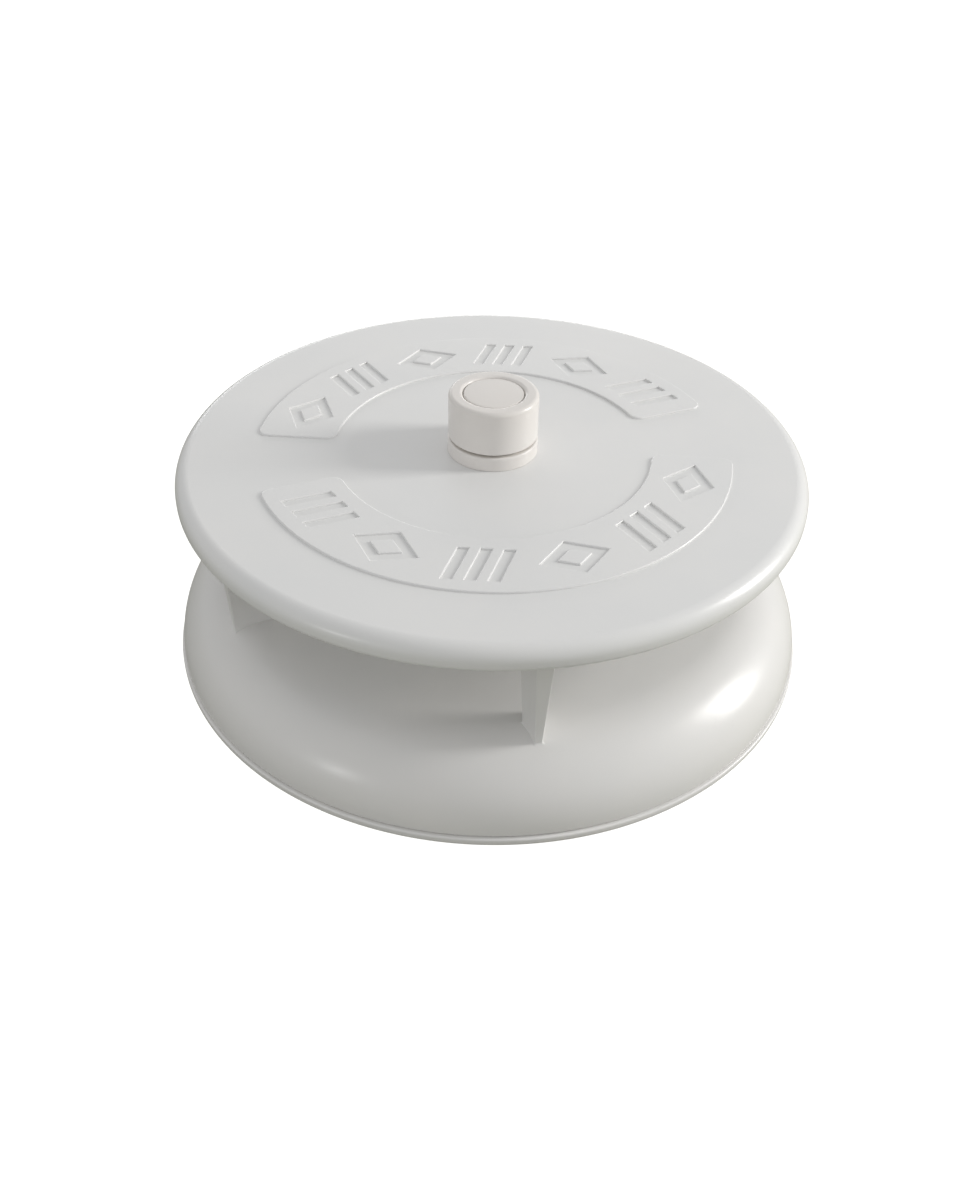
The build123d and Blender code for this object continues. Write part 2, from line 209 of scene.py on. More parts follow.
def piece(name, mesh, body, slot, material, *replaced):
    """Link a mesh as a piece that rides on a body, and hide the CAD nodes it stands for."""
    obj = bpy.data.objects.new(name, mesh)
    bpy.context.scene.collection.objects.link(obj)
    obj.data.materials.clear()
    obj.data.materials.append(material)
    normals = obj.modifiers.new("weighted_normals", "WEIGHTED_NORMAL")
    normals.keep_sharp = True
    normals.weight = 100
    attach(obj, body)
    if replaced:
        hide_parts(*replaced)
    return obj


# ---- shader tools -------------------------------------------------------------------
WORN_FROM = 0.995              # cosine between rounded and true normal where wear starts
WORN_TO = 0.90
OPEN_SKY = 0.75                # share of open sky above which a corner is clean
SHUT_SKY = 0.25
PLASTIC_IOR = 1.49
# Colour factor of the painted shade that darkens occluded corners.
CORNER_SHADE_TINT = (0.74, 0.70, 0.60)
STEEL = (0.60, 0.59, 0.57)
STEEL_CLOUD = (0.47, 0.46, 0.45)
STEEL_RUBBED = (0.78, 0.77, 0.75)
# Colour of the painted shade in the steel's occluded corners.
STEEL_CORNER_SHADE = (0.25, 0.24, 0.22)
SILICONE = (0.44, 0.46, 0.46)
SILICONE_DARK = (0.36, 0.37, 0.37)
SILICONE_DUST = (0.58, 0.58, 0.56)


def add(tree, kind, inputs=None, **settings):
    """Add a shader node; an input is a value or the socket that feeds it."""
    made = tree.nodes.new(kind)
    for key, value in settings.items():
        setattr(made, key, value)
    for key, value in (inputs or {}).items():
        if isinstance(value, bpy.types.NodeSocket):
            tree.links.new(value, made.inputs[key])
        else:
            made.inputs[key].default_value = value
    return made


def noise(tree, place, scale, detail=3.0, rough=0.5, distortion=0.0):
    wanted = {"Vector": place, "Scale": scale, "Detail": detail, "Roughness": rough, "Distortion": distortion}
    return add(tree, "ShaderNodeTexNoise", wanted).outputs["Fac"]


def spread(tree, value, low, high, to_low, to_high):
    wanted = {"Value": value, "From Min": low, "From Max": high, "To Min": to_low, "To Max": to_high}
    return add(tree, "ShaderNodeMapRange", wanted).outputs["Result"]


def maths(tree, operation, a, b):
    return add(tree, "ShaderNodeMath", {0: a, 1: b}, operation=operation).outputs[0]


def blend_colour(tree, factor, a, b):
    made = add(tree, "ShaderNodeMix", {0: factor, 6: a, 7: b}, data_type="RGBA")
    return made.outputs[2]


def stretched(tree, place, scale):
    return add(tree, "ShaderNodeMapping", {"Vector": place, "Scale": scale}).outputs[0]


def rgba(colour):
    return (*colour, 1.0)


def new_material(name):
    material = bpy.data.materials.new(name)
    material.use_nodes = True
    tree = material.node_tree
    place = add(tree, "ShaderNodeTexCoord").outputs["Object"]
    return material, tree, tree.nodes["Principled BSDF"], place


def edge_mask(tree, radius):
    """1 on worn edges, 0 on faces: where a rounded normal leaves the true one."""
    rounded = add(tree, "ShaderNodeBevel", {"Radius": radius}, samples=4).outputs[0]
    true = add(tree, "ShaderNodeNewGeometry").outputs["Normal"]
    match = add(tree, "ShaderNodeVectorMath", {0: rounded, 1: true}, operation="DOT_PRODUCT").outputs["Value"]
    return spread(tree, match, WORN_FROM, WORN_TO, 0.0, 1.0)


def occlusion_shade_mask(tree, reach):
    """Ambient occlusion mask for painted shade: 1 deep in a corner, 0 in the open."""
    open_sky = add(tree, "ShaderNodeAmbientOcclusion", {"Distance": reach}, samples=6).outputs["AO"]
    return spread(tree, open_sky, OPEN_SKY, SHUT_SKY, 0.0, 1.0)


def link_bump(tree, shader, layers):
    """Chain of bumps, each (height socket, strength, depth)."""
    normal = None
    for height, strength, depth in layers:
        wanted = {"Height": height, "Strength": strength, "Distance": depth}
        if normal is not None:
            wanted["Normal"] = normal
        normal = add(tree, "ShaderNodeBump", wanted).outputs["Normal"]
    tree.links.new(normal, shader.inputs["Normal"])


def moulded_plastic(name, colour, rough, peel=0.10, tint=(0.975, 0.98, 0.985), corner_shade_strength=0.10, wear=0.30):
    """Glossy injection moulding: faint orange peel, flow mottling, wipe marks, worn edges and painted shade
    in corners.
    """
    material, tree, shader, place = new_material(name)
    mottle = noise(tree, place, 22.0, 4.0, 0.55)
    cloudy = spread(tree, mottle, 0.35, 0.65, 0.0, 1.0)
    shade_b = tuple(c * t for c, t in zip(colour, tint))
    base = blend_colour(tree, cloudy, rgba(colour), rgba(shade_b))
    speck = noise(tree, place, 1400.0, 1.0)
    speckled = spread(tree, speck, 0.70, 0.78, 0.0, 0.05)
    base = blend_colour(tree, speckled, base, rgba(tuple(0.8 * c for c in colour)))
    patchy = noise(tree, place, 160.0, 3.0, 0.6)
    worn = maths(tree, "MULTIPLY", edge_mask(tree, 0.7 * MM), spread(tree, patchy, 0.42, 0.62, 0.35, 0.8))
    bright = tuple(min(1.0, 1.04 * c) for c in colour)
    base = blend_colour(tree, maths(tree, "MULTIPLY", worn, wear), base, rgba(bright))
    # Painted shade: darker colour where ambient occlusion finds a corner, broken into patches.
    painted_corner_shade = maths(tree, "MULTIPLY", occlusion_shade_mask(tree, 3.0 * MM), spread(tree, patchy, 0.30, 0.60, 0.4, 1.0))
    corner_shade_colour = tuple(c * t for c, t in zip(colour, CORNER_SHADE_TINT))
    base = blend_colour(tree, maths(tree, "MULTIPLY", painted_corner_shade, corner_shade_strength), base, rgba(corner_shade_colour))
    tree.links.new(base, shader.inputs["Base Color"])
    wipes = noise(tree, stretched(tree, place, (1.0, 7.0, 1.0)), 90.0, 4.0, 0.65, 0.4)
    smudges = noise(tree, place, 35.0, 5.0, 0.6, 0.6)
    gloss = spread(tree, wipes, 0.45, 0.75, rough, rough + 0.06 * wear)
    gloss = maths(tree, "ADD", gloss, spread(tree, smudges, 0.50, 0.72, 0.0, 0.15 * wear))
    gloss = maths(tree, "ADD", gloss, maths(tree, "MULTIPLY", worn, 0.3 * wear))
    tree.links.new(gloss, shader.inputs["Roughness"])
    shader.inputs["IOR"].default_value = PLASTIC_IOR
    scratches = noise(tree, stretched(tree, place, (1.0, 26.0, 1.0)), 120.0, 2.0, 0.5, 1.2)
    hairs = spread(tree, scratches, 0.72, 0.76, 1.0, 0.0)
    skin = noise(tree, place, 420.0, 2.0)
    swell = noise(tree, place, 38.0, 2.0)
    layers = [(swell, 0.12, 0.6 * MM), (skin, peel, 0.08 * MM), (hairs, 0.015 * wear, 0.02 * MM)]
    link_bump(tree, shader, layers)
    return material


def machined_plastic(name, colour, rough, pitch):
    """Turned acetal, nylon or matt moulding: fine tool rings, soft mottling, dull edges."""
    material, tree, shader, place = new_material(name)
    mottle = spread(tree, noise(tree, place, 60.0, 4.0, 0.6), 0.35, 0.65, 0.0, 1.0)
    base = blend_colour(tree, mottle, rgba(colour), rgba(tuple(0.93 * c for c in colour)))
    worn = maths(tree, "MULTIPLY", edge_mask(tree, 0.5 * MM), 0.4)
    rubbed = tuple(min(1.0, 1.08 * c) for c in colour)
    base = blend_colour(tree, worn, base, rgba(rubbed))
    # Painted shade: colour darkened where ambient occlusion finds a corner.
    painted_corner_shade = maths(tree, "MULTIPLY", occlusion_shade_mask(tree, 4.0 * MM), 0.35)
    base = blend_colour(tree, painted_corner_shade, base, rgba(tuple(0.62 * c for c in colour)))
    tree.links.new(base, shader.inputs["Base Color"])
    gloss = spread(tree, noise(tree, place, 240.0, 3.0), 0.3, 0.7, rough - 0.05, rough + 0.09)
    tree.links.new(gloss, shader.inputs["Roughness"])
    shader.inputs["IOR"].default_value = 1.48
    wanted = {"Vector": place, "Scale": 1.0 / pitch, "Distortion": 0.4, "Detail": 1.0}
    rings = add(tree, "ShaderNodeTexWave", wanted, wave_type="RINGS", rings_direction="Z").outputs["Fac"]
    grain = noise(tree, place, 900.0, 3.0)
    link_bump(tree, shader, [(rings, 0.25, 0.02 * MM), (grain, 0.20, 0.03 * MM)])
    return material


def turned_steel(name):
    """Stainless bar with fine lathe marks, cloudy reflections and rubbed edges."""
    material, tree, shader, place = new_material(name)
    mottle = spread(tree, noise(tree, place, 80.0, 5.0, 0.65), 0.35, 0.68, 0.0, 1.0)
    base = blend_colour(tree, mottle, rgba(STEEL), rgba(STEEL_CLOUD))
    worn = maths(tree, "MULTIPLY", edge_mask(tree, 0.4 * MM), 0.6)
    base = blend_colour(tree, worn, base, rgba(STEEL_RUBBED))
    # Painted shade: colour darkened where ambient occlusion finds a corner.
    painted_corner_shade = maths(tree, "MULTIPLY", occlusion_shade_mask(tree, 3.0 * MM), 0.5)
    base = blend_colour(tree, painted_corner_shade, base, rgba(STEEL_CORNER_SHADE))
    tree.links.new(base, shader.inputs["Base Color"])
    shader.inputs["Metallic"].default_value = 1.0
    streaks = noise(tree, stretched(tree, place, (1.0, 1.0, 40.0)), 160.0, 3.0)
    tree.links.new(spread(tree, streaks, 0.3, 0.7, 0.20, 0.42), shader.inputs["Roughness"])
    fine = noise(tree, stretched(tree, place, (1.0, 1.0, 60.0)), 220.0, 2.0)
    link_bump(tree, shader, [(fine, 0.18, 0.02 * MM)])
    return material


def silicone(name):
    """Grey silicone cord: soft skin, dust in its pores."""
    material, tree, shader, place = new_material(name)
    mottle = spread(tree, noise(tree, place, 120.0, 4.0), 0.35, 0.65, 0.0, 1.0)
    base = blend_colour(tree, mottle, rgba(SILICONE), rgba(SILICONE_DARK))
    dusty = maths(tree, "MULTIPLY", edge_mask(tree, 0.4 * MM), 0.4)
    base = blend_colour(tree, dusty, base, rgba(SILICONE_DUST))
    tree.links.new(base, shader.inputs["Base Color"])
    gloss = spread(tree, noise(tree, place, 500.0, 2.0), 0.3, 0.7, 0.45, 0.62)
    tree.links.new(gloss, shader.inputs["Roughness"])
    link_bump(tree, shader, [(noise(tree, place, 1500.0, 2.0), 0.25, 0.03 * MM)])
    return material


MATERIALS = {
    "plate_plastic": moulded_plastic("plate_white", (0.805, 0.805, 0.798), 0.285),
    "shell_plastic": moulded_plastic("shell_white", (0.810, 0.802, 0.790), 0.285),
    "leg_plastic": moulded_plastic("leg_white", (0.790, 0.784, 0.774), 0.34, corner_shade_strength=0.06, wear=0.06),
    "knob_plastic": moulded_plastic("knob_cream", (0.800, 0.776, 0.750), 0.285, tint=(0.99, 0.98, 0.97)),
    "washer_plastic": machined_plastic("nylon", (0.66, 0.63, 0.57), 0.40, 0.4 * MM),
    "bearing_plastic": machined_plastic("acetal", (0.76, 0.76, 0.74), 0.34, 0.3 * MM),
    "follower_plastic": machined_plastic("follower_white", (0.76, 0.76, 0.74), 0.42, 0.9 * MM),
    "mesh_plastic": machined_plastic("mesh_white", (0.76, 0.76, 0.74), 0.45, 0.5 * MM),
    "seal_rubber": silicone("silicone_grey"),
    "stainless": turned_steel("stainless_steel"),
}


# ---- top plate ----------------------------------------------------------------------
PANEL_INNER_R = 60.5 * MM
PANEL_OUTER_R = 91.0 * MM
PANEL_HALF_ANGLE = 77.3
PANEL_CORNER = 4.0 * MM
PANEL_EDGE = 0.45 * MM
PANEL_SINK = 0.8 * MM          # how far the panels go down into the plate
MARK_COUNT = 6
MARK_STEP = 25.2
LOZENGE = (13.0 * MM, 9.5 * MM)
LOZENGE_HOLE = (6.5 * MM, 4.6 * MM)
BAR_COUNT = 3
BAR_STEP = 8.0 * MM
BAR_W = 4.0 * MM
BAR_H = 18.0 * MM
BAR_LEAN = 4.4 * MM


def at(radius, turn):
    """Point at a radius and an angle in degrees from +Y towards +X."""
    a = math.radians(turn)
    return (radius * math.sin(a), radius * math.cos(a))


def corner(radius, turn, inward, side, steps=6):
    """Rounded corner of a panel at a radius and angle: points run from arc to end."""
    c = PANEL_CORNER
    swing = math.degrees(c / radius)
    points = []
    for i in range(steps + 1):
        a = math.radians(90.0 * i / steps)
        points.append(at(radius - inward * c * (1 - math.cos(a)), turn - side * swing * (1 - math.sin(a))))
    return points


def panel_outline():
    """Arc-shaped panel centred on +Y with rounded corners."""
    steps = 80
    outline = []
    for radius, inward, start, end in (
        (PANEL_OUTER_R, 1, -PANEL_HALF_ANGLE, PANEL_HALF_ANGLE),
        (PANEL_INNER_R, -1, PANEL_HALF_ANGLE, -PANEL_HALF_ANGLE),
    ):
        side = 1 if end > start else -1
        swing = math.degrees(PANEL_CORNER / radius)
        outline += reversed(corner(radius, start, inward, -side))
        low, high = start + side * swing, end - side * swing
        outline += [at(radius, low + (high - low) * i / steps) for i in range(1, steps)]
        outline += corner(radius, end, inward, side)
    return outline


def lozenge(half_length, half_height):
    return [(-half_length, 0), (0, -half_height), (half_length, 0), (0, half_height)]


def bar(shift):
    """Slanted bar, shifted along its row."""
    foot = shift - (BAR_W + BAR_LEAN) / 2
    head = foot + BAR_LEAN
    half = BAR_H / 2
    return [(foot, -half), (foot + BAR_W, -half), (head + BAR_W, half), (head, half)]


def mark_outlines(index):
    """Outlines of one recessed mark, with the island inside a lozenge."""
    if index % 2 == 0:
        return [lozenge(*LOZENGE), lozenge(*LOZENGE_HOLE)]
    first = -BAR_STEP * (BAR_COUNT - 1) / 2
    return [bar(first + BAR_STEP * i) for i in range(BAR_COUNT)]


def placed(outline, turn, radius):
    """Outline moved out to a radius and turned clockwise from +Y."""
    a = math.radians(turn)
    points = []
    for x, y in outline:
        y += radius
        points.append((x * math.cos(a) + y * math.sin(a), y * math.cos(a) - x * math.sin(a)))
    return points


def panel_mesh():
    outlines = [panel_outline()]
    middle = (PANEL_INNER_R + PANEL_OUTER_R) / 2
    for i in range(MARK_COUNT):
        turn = (i - (MARK_COUNT - 1) / 2) * MARK_STEP
        outlines += [placed(o, turn, middle) for o in mark_outlines(i)]
    return plan_solid("panel", outlines, PLATE_TOP - PANEL_SINK, PANEL_TOP, PANEL_EDGE)


def plate_profile():
    """Section of the plate: bore, top face, rounded rim and hollow underside."""
    small = 0.4 * MM
    top = PLATE_TOP
    inner = 1.0 * MM
    points = arc(HOLE_R + small, top - small, small, 180, 90, 4)
    points += arc(PLATE_R - RIM_TOP_FILLET, top - RIM_TOP_FILLET, RIM_TOP_FILLET, 90, 0, 16)
    points += arc(PLATE_R - RIM_LOW_FILLET, RIM_BOTTOM + RIM_LOW_FILLET, RIM_LOW_FILLET, 0, -90, 10)
    points += arc(RIM_INNER_R + small, RIM_BOTTOM + small, small, 270, 180, 4)
    points += arc(RIM_INNER_R - inner, PLATE_UNDER - inner, inner, 0, 90, 6)
    points += arc(HOLE_R + small, PLATE_UNDER + small, small, 270, 180, 4)
    return points


def make_top_plate():
    mesh = lathe("plate", plate_profile(), FINE)
    for turn in (0, 180):
        panel = panel_mesh()
        panel.transform(Matrix.Rotation(math.radians(turn), 4, "Z"))
        mesh = boolean("top_plate_moulding", mesh, panel, "UNION")
    piece("top_plate_moulding", mesh, "mould", "plate_plastic", MATERIALS["plate_plastic"], "top_plate")


# ---- shell --------------------------------------------------------------------------
def shell_profile():
    """Section of the shell: turret, flat roof, shoulder, tuck and hollow inside."""
    small = 0.4 * MM
    tuck = SHOULDER_Z - SHELL_FOOT
    inner_r = SHOULDER_R - SHELL_WALL
    roof_under = SHELL_TOP - SHELL_WALL
    meet = math.degrees(math.acos((SHELL_BORE_R - SHOULDER_X) / inner_r))
    foot = TURRET_FOOT_FILLET
    points = arc(HOLE_R + small, TURRET_TOP - small, small, 180, 90, 4)
    points += arc(TURRET_R - TURRET_EDGE, TURRET_TOP - TURRET_EDGE, TURRET_EDGE, 90, 0, 8)
    points += arc(TURRET_R + foot, SHELL_TOP + foot, foot, 180, 270, 6)
    points += arc(SHOULDER_X, SHOULDER_Z, SHOULDER_R, 90, 0, 48)
    points += arc(SHELL_R - tuck, SHOULDER_Z, tuck, 0, -90, 10)[1:]
    points += arc(SHELL_BORE_R + small, SHELL_FOOT + small, small, 270, 180, 4)
    points += arc(SHOULDER_X, SHOULDER_Z, inner_r, meet, 90, 32)
    points += [(TURRET_R - SHELL_WALL, roof_under)]
    points += [(TURRET_R - SHELL_WALL, TURRET_UNDER)]
    points += [(HOLE_R, TURRET_UNDER)]
    return points


def make_shell():
    mesh = lathe("shell", shell_profile(), FINE)
    low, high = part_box("guide_bushes")
    bush_y = high.y - (high.x - low.x) / 2
    for side in (-1, 1):
        tool = cylinder("bush_hole", BUSH_HOLE_R, TURRET_UNDER - MM, TURRET_TOP + MM, 0, side * bush_y)
        mesh = boolean("mould_shell_moulding", mesh, tool, "DIFFERENCE")
    piece("mould_shell_moulding", mesh, "mould", "shell_plastic", MATERIALS["shell_plastic"], "mould_shell")


# ---- legs ---------------------------------------------------------------------------
LEG_COUNT = 5
LEG_FIRST = -90.0
LEG_OUT_R = 108.0 * MM
LEG_OUT_W = 2.4 * MM
LEG_HEEL_R = 99.0 * MM
LEG_HEEL_W = 3.9 * MM
LEG_IN_R = 94.0 * MM
LEG_DRAFT = math.tan(math.radians(3.2))
LEG_FOOT_Z = 28.0 * MM
LEG_CORNER = 0.5 * MM
LEG_ROOT = 0.7 * MM            # fillet where a leg meets shell and plate


def roof_height(radius):
    """Height of the shell's outside over a radius beyond the turret."""
    if radius <= SHOULDER_X:
        return SHELL_TOP
    return SHOULDER_Z + math.sqrt(SHOULDER_R ** 2 - (radius - SHOULDER_X) ** 2)


def leg_section(grow):
    """Rounded wedge in plan with a heel, grown outwards by a distance; +X points out."""
    half = LEG_OUT_W / 2
    corners = [(LEG_HEEL_R, -LEG_HEEL_W), (LEG_OUT_R, -half), (LEG_OUT_R, half), (LEG_IN_R, half)]
    steps = 5
    points = []
    for k, (x, y) in enumerate(corners):
        before = Vector(corners[k - 1]) - Vector((x, y))
        after = Vector(corners[(k + 1) % 4]) - Vector((x, y))
        before.normalize()
        after.normalize()
        half_angle = before.angle(after) / 2
        towards = (before + after).normalized()
        middle = Vector((x, y)) + towards * ((LEG_CORNER - grow) / math.sin(half_angle))
        first = Vector((-before.y, before.x))
        last = Vector((after.y, -after.x))
        if first.dot(towards) > 0:
            first, last = -first, -last
        for i in range(steps + 1):
            direction = first.slerp(last, i / steps) if i not in (0, steps) else (first, last)[i // steps]
            points.append(middle + direction * LEG_CORNER)
    return points


def leg_mesh(name, angle):
    """Drafted leg from the shell's roof to the plate, with small root fillets."""
    levels = []
    steps = 5
    for i in range(steps + 1):
        a = math.radians(90.0 * i / steps)
        levels.append(("foot", LEG_ROOT * (1 - math.cos(a)), LEG_ROOT * (1 - math.sin(a))))
    for share in (0.2, 0.4, 0.6, 0.8):
        levels.append(("between", share, 0.0))
    for i in range(steps + 1):
        a = math.radians(90.0 * i / steps)
        levels.append(("head", LEG_ROOT * math.cos(a), LEG_ROOT * (1 - math.cos(a))))
    bm = bmesh.new()
    rings = []
    sink = 0.3 * MM
    for kind, value, flare in [("foot", -sink, LEG_ROOT)] + levels + [("head", -sink, LEG_ROOT)]:
        ring = []
        for point in leg_section(flare if kind == "foot" else 0.0):
            foot = roof_height(point.length)
            if kind == "foot":
                z = foot + value
            elif kind == "head":
                z = PLATE_UNDER - value
            else:
                z = foot + LEG_ROOT + (PLATE_UNDER - foot - 2 * LEG_ROOT) * value
            ring.append(z)
        rings.append((ring, flare))
    mesh_rings = []
    for ring, flare in rings:
        made = []
        for k, z in enumerate(ring):
            grow = flare + max(0.0, z - LEG_FOOT_Z) * LEG_DRAFT
            point = leg_section(grow)[k]
            made.append(bm.verts.new((point.x, point.y, z)))
        mesh_rings.append(made)
    count = len(mesh_rings[0])
    for low, high in zip(mesh_rings, mesh_rings[1:]):
        for i in range(count):
            j = (i + 1) % count
            bm.faces.new((low[i], low[j], high[j], high[i]))
    bm.faces.new(reversed(mesh_rings[0]))
    bm.faces.new(mesh_rings[-1])
    mesh = finish_mesh(name, bm, 50.0)
    mesh.transform(Matrix.Rotation(math.radians(angle), 4, "Z"))
    return mesh


def make_legs():
    for i in range(LEG_COUNT):
        angle = LEG_FIRST + 360.0 * i / LEG_COUNT
        name = f"leg_{i + 1}_moulding"
        mesh = leg_mesh(name, angle)
        piece(name, mesh, "mould", "leg_plastic", MATERIALS["leg_plastic"], f"spacer_leg_{i + 1}")


# ---- knob and clamp -----------------------------------------------------------------
KNOB_BORE_R = 7.0 * MM
PLUG_GAP = 0.2 * MM
TUBE_R = 10.55 * MM            # bore of the clamp ring, on the spindle tube


def make_knob():
    r = radius_of("knob")
    low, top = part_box("knob")[0].z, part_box("knob")[1].z
    plug_r = radius_of("knob_plug")
    plug_low, plug_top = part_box("knob_plug")[0].z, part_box("knob_plug")[1].z
    pocket = plug_r + PLUG_GAP
    edge, foot_edge, lip = 1.7 * MM, 0.6 * MM, 1.4 * MM
    bore = KNOB_BORE_R
    points = arc(bore + foot_edge, low + foot_edge, foot_edge, 180, 270, 4)
    points += arc(r - foot_edge, low + foot_edge, foot_edge, 270, 360, 6)
    points += arc(r - edge, top - edge, edge, 0, 90, 12)
    points += arc(pocket + lip, top - lip, lip, 90, 180, 10)
    points += [(pocket, plug_low), (bore, plug_low)]
    mesh = lathe("knob_cap", points, SMALL)
    piece("knob_cap", mesh, "spindle", "knob_plastic", MATERIALS["knob_plastic"], "knob")
    rim = 0.7 * MM
    dome = 0.15 * MM
    points = [(0, plug_low), (plug_r, plug_low)]
    points += arc(plug_r - rim, plug_top - dome - rim, rim, 0, 80, 8)
    for i in range(1, 8):
        share = 1 - i / 8
        points.append(((plug_r - rim) * share, plug_top - dome * share ** 2))
    points.append((0, plug_top))
    mesh = lathe("knob_cover_disc", points, SMALL)
    piece("knob_cover_disc", mesh, "spindle", "knob_plastic", MATERIALS["knob_plastic"], "knob_plug")


def ring_piece(name, node, inner_r, edge, foot_edge, body, slot):
    """Turned ring with rounded edges that stands for a CAD ring."""
    r = radius_of(node)
    low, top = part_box(node)[0].z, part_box(node)[1].z
    inner_edge = min(edge, 0.3 * MM)
    points = arc(inner_r + inner_edge, low + inner_edge, inner_edge, 180, 270, 3)
    points += arc(r - foot_edge, low + foot_edge, foot_edge, 270, 360, 5)
    points += arc(r - edge, top - edge, edge, 0, 90, 8)
    points += arc(inner_r + inner_edge, top - inner_edge, inner_edge, 90, 180, 3)
    piece(name, lathe(name, points, SMALL), body, slot, MATERIALS[slot], node)


def make_clamp():
    ring_piece("clamp_ring", "clamp_collar", TUBE_R, 0.8 * MM, 0.3 * MM, "mould", "knob_plastic")
    ring_piece("nylon_washer", "knob_washer", KNOB_BORE_R, 0.3 * MM, 0.3 * MM, "spindle", "washer_plastic")
    ring_piece("centre_column", "centre_sleeve", HOLE_R, 0.4 * MM, 0.4 * MM, "mould", "shell_plastic")


# ---- drain base ---------------------------------------------------------------------
SLOT_RINGS = ((35.0 * MM, 12), (66.0 * MM, 24), (98.0 * MM, 36))
SLOT_L = 20.0 * MM
SLOT_HALF_W = 1.1 * MM
SLOT_EDGE = 0.25 * MM
BASE_JOIN_R = 112.0 * MM       # where the slotted disc meets the rim
BASE_LAP = 0.05 * MM
BASE_TOP_FILLET = 0.8 * MM
BASE_LOW_FILLET = 1.8 * MM
BASE_RING_OUTER_R = 118.6 * MM
BASE_RING_INNER_R = 116.2 * MM
BASE_RING_EDGE = 0.4 * MM
BASE_RING_ROOT = 0.5 * MM


def slot_outline(radius, turn, steps=6):
    """Radial slot with round ends, at an angle in degrees from +X."""
    reach = SLOT_L / 2 - SLOT_HALF_W
    a = math.radians(turn)
    points = []
    for side in (1, -1):
        for i in range(steps + 1):
            b = math.pi * (i / steps - 0.5)
            x = radius + side * (reach + SLOT_HALF_W * math.cos(b))
            y = side * SLOT_HALF_W * math.sin(b)
            points.append((x * math.cos(a) - y * math.sin(a), x * math.sin(a) + y * math.cos(a)))
    return points


def make_drain_base():
    """Slotted disc, and the rim with the ring that centres the shell."""
    floor = bottom_of("drain_mesh")
    edge_r = BASE_JOIN_R + BASE_LAP
    turns = [2 * math.pi * i / FINE for i in range(FINE)]
    outlines = [[(edge_r * math.cos(a), edge_r * math.sin(a)) for a in turns]]
    for radius, count in SLOT_RINGS:
        outlines += [slot_outline(radius, 360.0 * i / count) for i in range(count)]
    disc = plan_solid("drain_floor", outlines, 0, floor, SLOT_EDGE)
    piece("drain_floor", disc, "base", "shell_plastic", MATERIALS["shell_plastic"], "drain_base")
    r, top = radius_of("drain_base"), top_of("drain_base")
    low, high, edge, root = BASE_LOW_FILLET, BASE_TOP_FILLET, BASE_RING_EDGE, BASE_RING_ROOT
    points = [(BASE_JOIN_R, 0)]
    points += arc(r - low, low, low, 270, 360, 10)
    points += arc(r - high, floor - high, high, 0, 90, 6)
    points += arc(BASE_RING_OUTER_R + root, floor + root, root, 270, 180, 4)
    points += arc(BASE_RING_OUTER_R - edge, top - edge, edge, 0, 90, 4)
    points += arc(BASE_RING_INNER_R + edge, top - edge, edge, 90, 180, 4)
    points += [(BASE_RING_INNER_R, floor), (BASE_JOIN_R, floor)]
    rim = lathe("drain_rim", points, FINE)
    piece("drain_rim", rim, "base", "shell_plastic", MATERIALS["shell_plastic"], "drain_base")


# ---- drain mesh ---------------------------------------------------------------------
MESH_PITCH = 3.0 * MM
MESH_BAND = 2.0 * MM


def make_drain_mesh():
    """Woven round mesh in a thin welded band."""
    r = radius_of("drain_mesh")
    low, high = bottom_of("drain_mesh"), top_of("drain_mesh")
    middle = (low + high) / 2
    wire = (high - low) / 4
    reach = r - MESH_BAND / 2
    count = int(reach / MESH_PITCH)
    bm = bmesh.new()
    sides = 4
    for across in (0, 1):
        for k in range(-count, count + 1):
            offset = k * MESH_PITCH
            half = math.sqrt(reach ** 2 - offset ** 2)
            steps = max(2, int(2 * half / (MESH_PITCH / 2)))
            previous = None
            for i in range(steps + 1):
                along = -half + 2 * half * i / steps
                phase = math.pi * (along / MESH_PITCH + k + across)
                z = middle + wire * math.cos(phase)
                ring = []
                for s in range(sides):
                    a = 2 * math.pi * (s + 0.5) / sides
                    side, up = wire * math.cos(a), wire * math.sin(a)
                    x, y = (along, offset + side) if across else (offset + side, along)
                    ring.append(bm.verts.new((x, y, z + up)))
                if previous:
                    for s in range(sides):
                        t = (s + 1) % sides
                        bm.faces.new((previous[s], previous[t], ring[t], ring[s]))
                else:
                    bm.faces.new(ring)
                previous = ring
            bm.faces.new(previous)
    woven = finish_mesh("woven_mesh", bm, 100.0)
    piece("woven_mesh", woven, "base", "mesh_plastic", MATERIALS["mesh_plastic"], "drain_mesh")
    edge = 0.35 * MM
    inner = r - MESH_BAND
    points = arc(inner + edge, low + edge, edge, 180, 270, 4)
    points += arc(r - edge, low + edge, edge, 270, 360, 4)
    points += arc(r - edge, high - edge, edge, 0, 90, 4)
    points += arc(inner + edge, high - edge, edge, 90, 180, 4)
    band = lathe("mesh_band", points, FINE)
    piece("mesh_band", band, "base", "mesh_plastic", MATERIALS["mesh_plastic"], "drain_mesh")


# ---- CAD pieces that stay -----------------------------------------------------------
def dress_cad_nodes():
    """Give each CAD node that still shows the material of its slot."""
    for part in frame["record"]["subparts"]:
        obj = frame["nodes"][part["node"]]
        obj.data.materials.clear()
        obj.data.materials.append(MATERIALS[part["material_slot"]])


# ---- camera, light and floor --------------------------------------------------------
VIEW_AZIMUTH = -9.3            # degrees, the camera stands left of -Y
VIEW_ELEVATION = 38.26
VIEW_ROLL = 1.157
VIEW_DISTANCE = 4.3616         # in plate radii, as is the point aimed at
VIEW_AIM = (-0.0301, 0.0, 0.0705)
VIEW_LENS = 37.38
SENSOR = 36.0
FLOOR_HALF = 40.0
LIGHT_DISTANCE = 1.6
SKY_STRENGTH = 0.575
KEY_TINT = (1.0, 0.985, 0.96)
PAPER = (0.93, 0.93, 0.93)
PAPER_GLOW = 0.95
PAPER_Z = -0.2 * MM
CARD = (0.31, 0.31, 0.25)      # dims and warms the light from below
CARD_Z = -0.1 * MM


